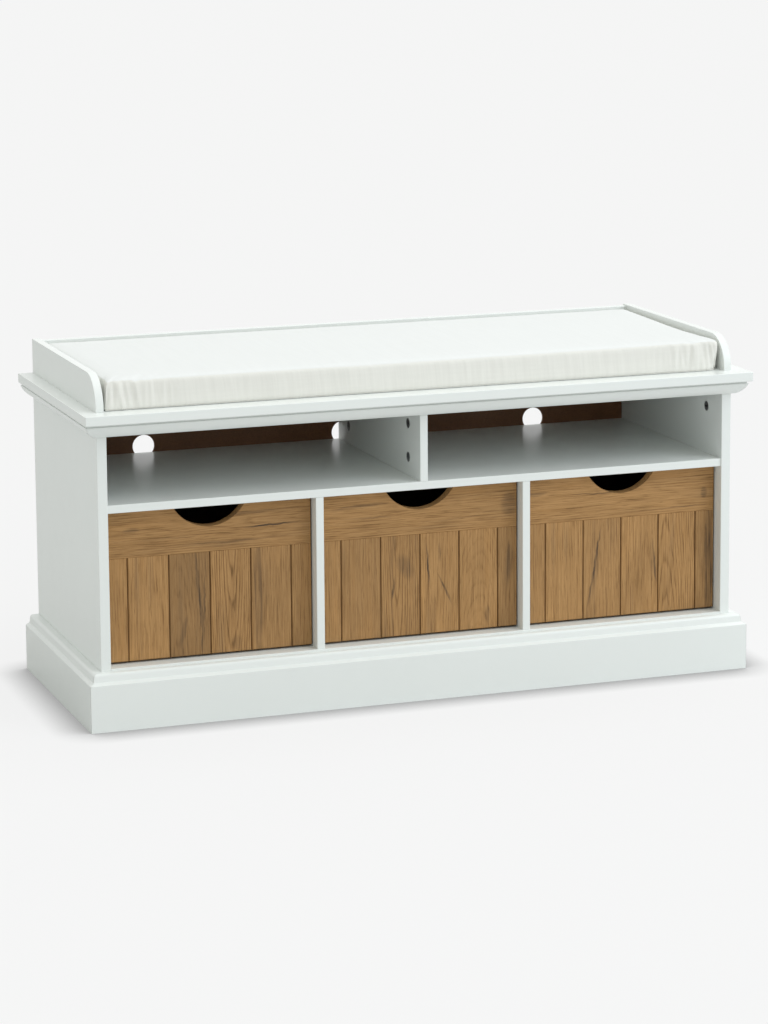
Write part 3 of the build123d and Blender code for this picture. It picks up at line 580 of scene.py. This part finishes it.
def oak_front(bay, number):
    """Oak of one box front: upright planks with a groove between each two, under a level band."""
    graph = Graph("oak_front_" + bay)
    low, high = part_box("box_" + bay + "_front")
    plank_width = (high.x - low.x) / PLANK_COUNT
    x, y, z = graph.split(graph.place)
    depth = graph.math("SUBTRACT", y, low.y)
    across = graph.math("SUBTRACT", x, (low.x + high.x) / 2)

    plank = graph.math("FLOOR", graph.math("DIVIDE", across, plank_width))
    plank_middle = graph.math("MULTIPLY", graph.math("ADD", plank, 0.5), plank_width)
    chance = graph.node("TexWhiteNoise", {"W": graph.math("ADD", plank, 17.3 * number + 5)}, output="Color",
                        noise_dimensions="1D")
    boards = PLANKS[bay]
    place_in_row = graph.math("DIVIDE", graph.math("ADD", plank, PLANKS_TO_MIDDLE + 0.5), len(boards))
    stops = [(index / len(boards), board) for index, board in enumerate(boards)]
    board_tone_and_shade, board_grey, arches = graph.split(graph.ramp(place_in_row, *stops, steps=True))
    upright = oak(graph, z, across, depth, chance, arches, UPRIGHT_MARKS[bay], plank_middle)
    greyed = graph.mix(graph.math("MULTIPLY", board_grey, 0.6), upright[0], OAK_GREY)
    # The tones vary from plank to plank; the lower tone of the half plank at the right end is painted shade
    planks = graph.mix(1.0, greyed, graph.join(board_tone_and_shade, board_tone_and_shade, board_tone_and_shade), blend="MULTIPLY")

    band_chance = graph.join(0.72 - 0.2 * number, 0.35 + 0.1 * number, 0.5)
    level_marks = [(up, side, *rest) for side, up, *rest in BAND_MARKS[bay]]
    level = oak(graph, across, z, depth, band_chance, BAND_ARCHES, level_marks, high.z - BAND_HEIGHT / 2)
    band = graph.mix(1.0, level[0], (BAND_TONES[bay],) * 3, blend="MULTIPLY")

    in_band = graph.math("GREATER_THAN", z, high.z - BAND_HEIGHT)
    in_groove = graph.remap(depth, 0.2 * MM, GROOVE_DEPTH, 0.0, 0.85)
    on_face = graph.math("LESS_THAN", depth, GROOVE_DEPTH * 1.1)
    colour = graph.mix(in_band, planks, band)
    colour = graph.mix(graph.math("MULTIPLY", in_groove, on_face), colour, GROOVE_SHADE)
    height = graph.node("Mix", {0: in_band, 2: upright[1], 3: level[1]})
    gloss = graph.node("Mix", {0: in_band, 2: upright[2], 3: level[2]})
    return graph.finish(base_color=colour, roughness=gloss, specular=0.2,
                        normal=graph.bump(height, 0.12 * MM, 0.7))


def dress(material, *names):
    """Gives CAD nodes this material in place of the one they came with."""
    for name in names:
        data = nodes[name].data
        data.materials.clear()
        data.materials.append(material)


def by_slot():
    """The CAD nodes' names, grouped by the record's material slot."""
    groups = {}
    for part in frame["record"]["subparts"]:
        groups.setdefault(part["material_slot"], []).append(part["node"])
    return groups


# ---------------------------------------------------------------- seat cushion
CELL = 7 * MM                   # mean cell of the shell that is simulated, before it is subdivided
CELL_CROWDING = 0.65            # how much closer the cells stand near the edges than halfway
SHELL_INSET = 2.5 * MM          # the shell starts this much inside the cover on each side
FOAM_INSET = 7.5 * MM
FOAM_CELL = 4 * CELL
TOP_ROUND = 9 * MM              # radius of the top edge
BASE_ROUND = 2.5 * MM
REAR_CORNER = 9 * MM            # radii of the corners in plan
LEFT_CORNER = 3.5 * MM
RIGHT_CORNER = 28 * MM          # at its base; the slack front right corner fills out towards its top
RIGHT_CORNER_FILLS = 18 * MM
CROWN = 0.6 * MM                # of the middle of the top above its edges
CROWN_REACH = 0.13              # how far in from the edges it goes on rising
REAR_RISE = 3.4 * MM            # of the rear edge above the front
REAR_RISE_START = 100 * MM      # where that rise begins, in front of the cushion's middle
END_RISE = 2.0 * MM             # of the front edge towards its right end
END_RISE_START = (100 * MM, 20 * MM)  # where that rise begins, right of the middle and in front of it
SIDE_PULL = 1.8 * MM            # how far the middle of a side pulls in between its corners

PRESSURE = 2.0                  # of the filling on the cloth
STRETCH_STIFFNESS = 25
BEND_STIFFNESS = 1.0
SEAM_HOLD = 0.3                 # how firmly a seam keeps its place; the base, which lies flat, has 1
SWELL_FRAMES = 20
SWELL_LIMIT = 3.2 * MM          # how far the filling may push the cloth, approached smoothly
TOP_LIMIT = 6 * MM              # how far the top may rise above the CAD cover's, approached smoothly
TOUCHING = 0.01 * MM

SEAM_DEPTH = 0.9 * MM
TOP_SEAM = 0.3                  # how plainly the seam round the top shows, next to the others
SEAM_REACH = 0.28               # of the boxing's height that a seam gathers
PUCKER_PITCH = 9 * MM
PUCKER_HEIGHT = 0.25 * MM
CREASE_HEIGHT = 0.4 * MM        # of the level creases in the rear half of the top
TOP_UNEVENNESS = 0.3 * MM
FOLD_SEED = 11
FOLD_ROOM = 1.2 * MM            # left inside the CAD cover's sides for folds that stand out
FOLD_TILT = 0.5                 # most that a fold is deeper at one end than halfway up
CREASED_END = 110 * MM          # length of boxing at each corner where the folds crowd
# Folds near a corner, in mm: where the first one stands, the step to the next, height, width and lean
END_FOLD_START = 5
END_FOLD_STEP = (6, 12)
END_FOLD_HEIGHT = (1.3, 2.8)
END_FOLD_WIDTH = (2.4, 4.4)
END_FOLD_LEAN = (-8, 8)
END_FOLD_SIGNS = (0.6, -1, -1)  # out of the cloth one time in three, and shallower
END_FOLD_FADE = 0.75            # of the height, lost by the end of the creased length
# Folds anywhere along a side, in mm
FREE_FOLD_PITCH = 14
FREE_FOLD_HEIGHT = (-0.25, 0.25)
FREE_FOLD_WIDTH = (2.5, 7)
FREE_FOLD_LEAN = (-5, 5)


def lattice_shell(name, counts, place):
    """A closed box of quads with that many cells each way; place turns lattice fractions into a point.

    The attribute "seam" is 1 along the sewn edges, round the base and up each corner, and less round the
    top, where the padding fills the seam out.
    """
    shell = bmesh.new()
    seam = shell.verts.layers.float.new("seam")
    points = {}

    def corner(key):
        if key not in points:
            fractions = [index / count for index, count in zip(key, counts)]
            points[key] = shell.verts.new(place(*fractions))
            at_ends = [fraction in (0.0, 1.0) for fraction in fractions]
            if sum(at_ends) >= 2:
                points[key][seam] = TOP_SEAM if fractions[2] == 1.0 else 1.0
        return points[key]

    for axis in range(3):
        first, second = [other for other in range(3) if other != axis]
        for end in (0, counts[axis]):
            for i in range(counts[first]):
                for j in range(counts[second]):
                    ring = []
                    for di, dj in ((0, 0), (1, 0), (1, 1), (0, 1)):
                        key = [0, 0, 0]
                        key[axis], key[first], key[second] = end, i + di, j + dj
                        ring.append(corner(tuple(key)))
                    shell.faces.new(ring)
    bmesh.ops.recalc_face_normals(shell, faces=shell.faces)
    mesh = bpy.data.meshes.new(name)
    shell.to_mesh(mesh)
    shell.free()
    piece = bpy.data.objects.new(name, mesh)
    bpy.context.scene.collection.objects.link(piece)
    return piece


def crowd(fraction):
    """Moves evenly spaced fractions closer together near 0 and 1."""
    return fraction - CELL_CROWDING * math.sin(2 * math.pi * fraction) / (2 * math.pi)


def ease(value, start, end):
    """0 before start, 1 after end, and a smooth rise between."""
    share = min(1.0, max(0.0, (value - start) / (end - start)))
    return share * share * (3 - 2 * share)


def round_plan(x, y, half_x, half_y, radius):
    """Moves a point of a rectangle into the same rectangle with rounded corners."""
    over_x = max(0.0, abs(x) - (half_x - radius)) / radius
    over_y = max(0.0, abs(y) - (half_y - radius)) / radius
    new_x = over_x * math.sqrt(1 - over_y ** 2 / 2)
    new_y = over_y * math.sqrt(1 - over_x ** 2 / 2)
    return (x - math.copysign(radius * (over_x - new_x), x),
            y - math.copysign(radius * (over_y - new_y), y))


def corner_radius(x, y, height):
    """Corner radius in plan: the front right corner is slack, and pulls in towards its base."""
    if y > 0:
        return REAR_CORNER
    if x > 0:
        return RIGHT_CORNER - RIGHT_CORNER_FILLS * height
    return LEFT_CORNER


def cushion_shell(name, inset, cell):
    """The cushion's closed shape at that distance inside the CAD cover: crowned, its sides pulled in."""
    low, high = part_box("cushion_cover")
    middle = (low + high) / 2
    half_x = (high.x - low.x) / 2 - inset
    half_y = (high.y - low.y) / 2 - inset
    lining = inset - SHELL_INSET
    base = low.z + lining
    top = high.z - lining
    counts = [max(4, round(size / cell)) for size in (2 * half_x, 2 * half_y, top - base)]

    def place(u, v, w):
        x, y = (2 * crowd(u) - 1) * half_x, (2 * crowd(v) - 1) * half_y
        height = crowd(w)
        from_side = min(half_x - abs(x), half_y - abs(y))
        middle_x, middle_y = 1 - (x / half_x) ** 2, 1 - (y / half_y) ** 2
        end_rise = END_RISE * ease(x, END_RISE_START[0], half_x) * ease(-y, END_RISE_START[1], half_y)
        crown = CROWN * ease(half_x - abs(x), 0, CROWN_REACH) * ease(half_y - abs(y), 0, CROWN_REACH)
        tall = top - base + end_rise + crown + REAR_RISE * ease(y, -REAR_RISE_START, half_y)
        drop_in = drop_down = 0.0
        for radius, near in ((TOP_ROUND, (1 - height) * tall), (BASE_ROUND, height * tall)):
            out = max(0.0, 1 - from_side / radius)
            up = max(0.0, 1 - near / radius)
            drop_in += radius * out * (1 - math.sqrt(1 - up ** 2 / 2))
            drop_down += math.copysign(radius, 0.5 - height) * up * (1 - math.sqrt(1 - out ** 2 / 2))
        x, y = round_plan(x, y, half_x, half_y, corner_radius(x, y, height))
        x *= 1 - (drop_in + SIDE_PULL * middle_y) / half_x
        y *= 1 - (drop_in + SIDE_PULL * middle_x) / half_y
        return Vector((middle.x + x, middle.y + y, base + height * tall + drop_down))

    return lattice_shell(name, counts, place)


def applied(piece):
    """The piece's mesh with its modifiers applied; the piece loses them."""
    mesh = bpy.data.meshes.new_from_object(piece.evaluated_get(bpy.context.evaluated_depsgraph_get()))
    piece.modifiers.clear()
    return mesh


def swell(piece, held):
    """Blows the shell up as cloth round its filling. held gives the points that stay and how firmly."""
    group = piece.vertex_groups.new(name="held")
    for firmness, indices in held.items():
        group.add(indices, firmness, "REPLACE")
    cloth = piece.modifiers.new("cloth", "CLOTH")
    cloth.settings.vertex_group_mass = "held"
    cloth.settings.use_pressure = True
    cloth.settings.uniform_pressure_force = PRESSURE
    cloth.settings.effector_weights.gravity = 0
    cloth.settings.tension_stiffness = STRETCH_STIFFNESS
    cloth.settings.compression_stiffness = STRETCH_STIFFNESS
    cloth.settings.bending_stiffness = BEND_STIFFNESS
    cloth.collision_settings.use_collision = False
    scene = bpy.context.scene
    for step in range(1, SWELL_FRAMES + 1):
        scene.frame_set(step)
    swollen = applied(piece)
    scene.frame_set(1)
    for before, after in zip(piece.data.vertices, swollen.vertices):
        move = after.co - before.co
        allowed = SWELL_LIMIT * (1 - math.exp(-move.length / SWELL_LIMIT))
        before.co += move * (allowed / max(move.length, 1e-9))
    bpy.data.meshes.remove(swollen)


def make_folds(length, draws):
    """Upright folds of the boxing along one side: place, lean, width, height and tilt of each."""
    folds = []
    for end in (-1, 1):
        at = END_FOLD_START * MM
        while at < CREASED_END:
            height = draws.uniform(*END_FOLD_HEIGHT) * MM * (1 - END_FOLD_FADE * at / CREASED_END)
            height *= draws.choice(END_FOLD_SIGNS)
            lean = draws.uniform(*END_FOLD_LEAN) * MM
            width = draws.uniform(*END_FOLD_WIDTH) * MM
            tilt = draws.uniform(-FOLD_TILT, FOLD_TILT)
            folds.append((end * (length / 2 - at), lean, width, height, tilt))
            at += draws.uniform(*END_FOLD_STEP) * MM
    for _ in range(round(length / (FREE_FOLD_PITCH * MM))):
        at = draws.uniform(-0.5, 0.5) * length
        lean = draws.uniform(*FREE_FOLD_LEAN) * MM
        width = draws.uniform(*FREE_FOLD_WIDTH) * MM
        height = draws.uniform(*FREE_FOLD_HEIGHT) * MM
        tilt = draws.uniform(-FOLD_TILT, FOLD_TILT)
        folds.append((at, lean, width, height, tilt))
    return folds


def sculpt(piece, low, high):
    """Presses the seams in, gathers the cloth along them, folds the boxing and creases the top."""
    draws = random.Random(FOLD_SEED)
    middle = (low + high) / 2
    sides = {(axis, sign): make_folds((high - low)[1 - axis], draws) for axis in (0, 1) for sign in (-1, 1)}
    seam = piece.data.attributes["seam"].data
    normals = [vertex.normal.copy() for vertex in piece.data.vertices]
    for vertex, normal in zip(piece.data.vertices, normals):
        spot = vertex.co
        axis = 0 if abs(normal.x) > abs(normal.y) else 1
        sign = 1 if normal[axis] > 0 else -1
        along = spot[1 - axis] - middle[1 - axis]
        height = (spot.z - low.z) / (high.z - low.z)
        upright = ease(1 - abs(normal.z), 0.15, 0.6)
        near_seam = max(0.0, 1 - min(height, 1 - height) / SEAM_REACH) * upright
        gather = math.sin(2 * math.pi * along / PUCKER_PITCH + 3 * noise.noise(spot * 25))
        push = -SEAM_DEPTH * seam[vertex.index].value + PUCKER_HEIGHT * near_seam * gather
        if upright:
            push += fold_height(sides[axis, sign], along, height) * upright
        if upright < 1:
            crease = 1 - abs(noise.noise(Vector((spot.x * 9 + spot.y * 5, spot.y * 26, 0.5))))
            creases = CREASE_HEIGHT * ease(crease, 0.85, 1.0) * ease(spot.y, middle.y, high.y)
            uneven = TOP_UNEVENNESS * noise.noise(spot * 9)
            push += (uneven + creases) * ease(height, 0.6, 0.9) * (1 - upright)
        spot += normal * push
        spot.z = max(spot.z, low.z)


def fold_height(folds, along, height):
    """How far the folds of a side stand out there; height goes from 0 at the base to 1 at the top."""
    room = max(0.0, 4 * height * (1 - height)) ** 0.5
    total = 0.0
    for at, lean, width, tall, tilt in folds:
        off = (along - at - lean * (height - 0.5)) / width
        if abs(off) < 3:
            total += tall * math.exp(-off * off) * room * (1 + tilt * (2 * height - 1))
    return total


def fit_between(piece, low, high):
    """Scales the piece's plan to reach the CAD cover's sides, less the room for folds."""
    for axis in (0, 1):
        values = [vertex.co[axis] for vertex in piece.data.vertices]
        middle, half = (high[axis] + low[axis]) / 2, (high[axis] - low[axis]) / 2 - FOLD_ROOM
        reach = max(max(values) - middle, middle - min(values))
        for vertex in piece.data.vertices:
            vertex.co[axis] = middle + (vertex.co[axis] - middle) * half / reach


def stay_inside(piece, low, high):
    """Keeps every point within the CAD cover's sides and base, and close to its top."""
    for vertex in piece.data.vertices:
        for axis in (0, 1):
            vertex.co[axis] = min(high[axis], max(low[axis], vertex.co[axis]))
        over = max(0.0, vertex.co.z - high.z)
        vertex.co.z = max(low.z, vertex.co.z - over + TOP_LIMIT * (1 - math.exp(-over / TOP_LIMIT)))


def cushion():
    """The sewn cover, blown up as cloth round its foam, and the foam slab inside it."""
    low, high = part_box("cushion_cover")
    cover = cushion_shell("cushion_cover_sewn", SHELL_INSET, CELL)
    seam = cover.data.attributes["seam"].data
    under = [vertex.index for vertex in cover.data.vertices if vertex.co.z < low.z + TOUCHING]
    sewn = [vertex.index for vertex in cover.data.vertices
            if seam[vertex.index].value > 0 and vertex.co.z > low.z + TOUCHING]
    swell(cover, {1.0: under, SEAM_HOLD: sewn})
    smooth = cover.modifiers.new("smooth", "SUBSURF")
    smooth.levels = 1
    cover.data = applied(cover)
    fit_between(cover, low, high)
    sculpt(cover, low, high)
    stay_inside(cover, low, high)
    finish_soft(cover, cover_cloth(), "cushion_cover")
    core = cushion_shell("cushion_foam_core", FOAM_INSET, FOAM_CELL)
    finish_soft(core, foam(), "cushion_foam")


def finish_soft(piece, material, node):
    """Shades the piece, gives it its material, hides the CAD node it takes the place of, and hangs it on the
    body it rides on.
    """
    for face in piece.data.polygons:
        face.use_smooth = True
    piece.data.materials.clear()
    piece.data.materials.append(material)
    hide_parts(node)
    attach(piece, "cushion")


make_camera()
make_light()
make_floor()

groups = by_slot()
dress(white_lacquer(), *groups["white_lacquer"])
dress(hardboard(), *groups["hardboard"])
dress(raw_board(), *groups["raw_board"])
dress(beech(), *groups["beech"])
dress(metal("zinc", *ZINC), *groups["zinc"])
dress(metal("steel", *STEEL), *groups["steel"])
dress(glide_felt(), *groups["glide_felt"])
dress(box_foil(), *groups["box_foil"])
for number, bay in enumerate(BAYS):
    dress(oak_front(bay, number), "box_" + bay + "_front")
cushion()
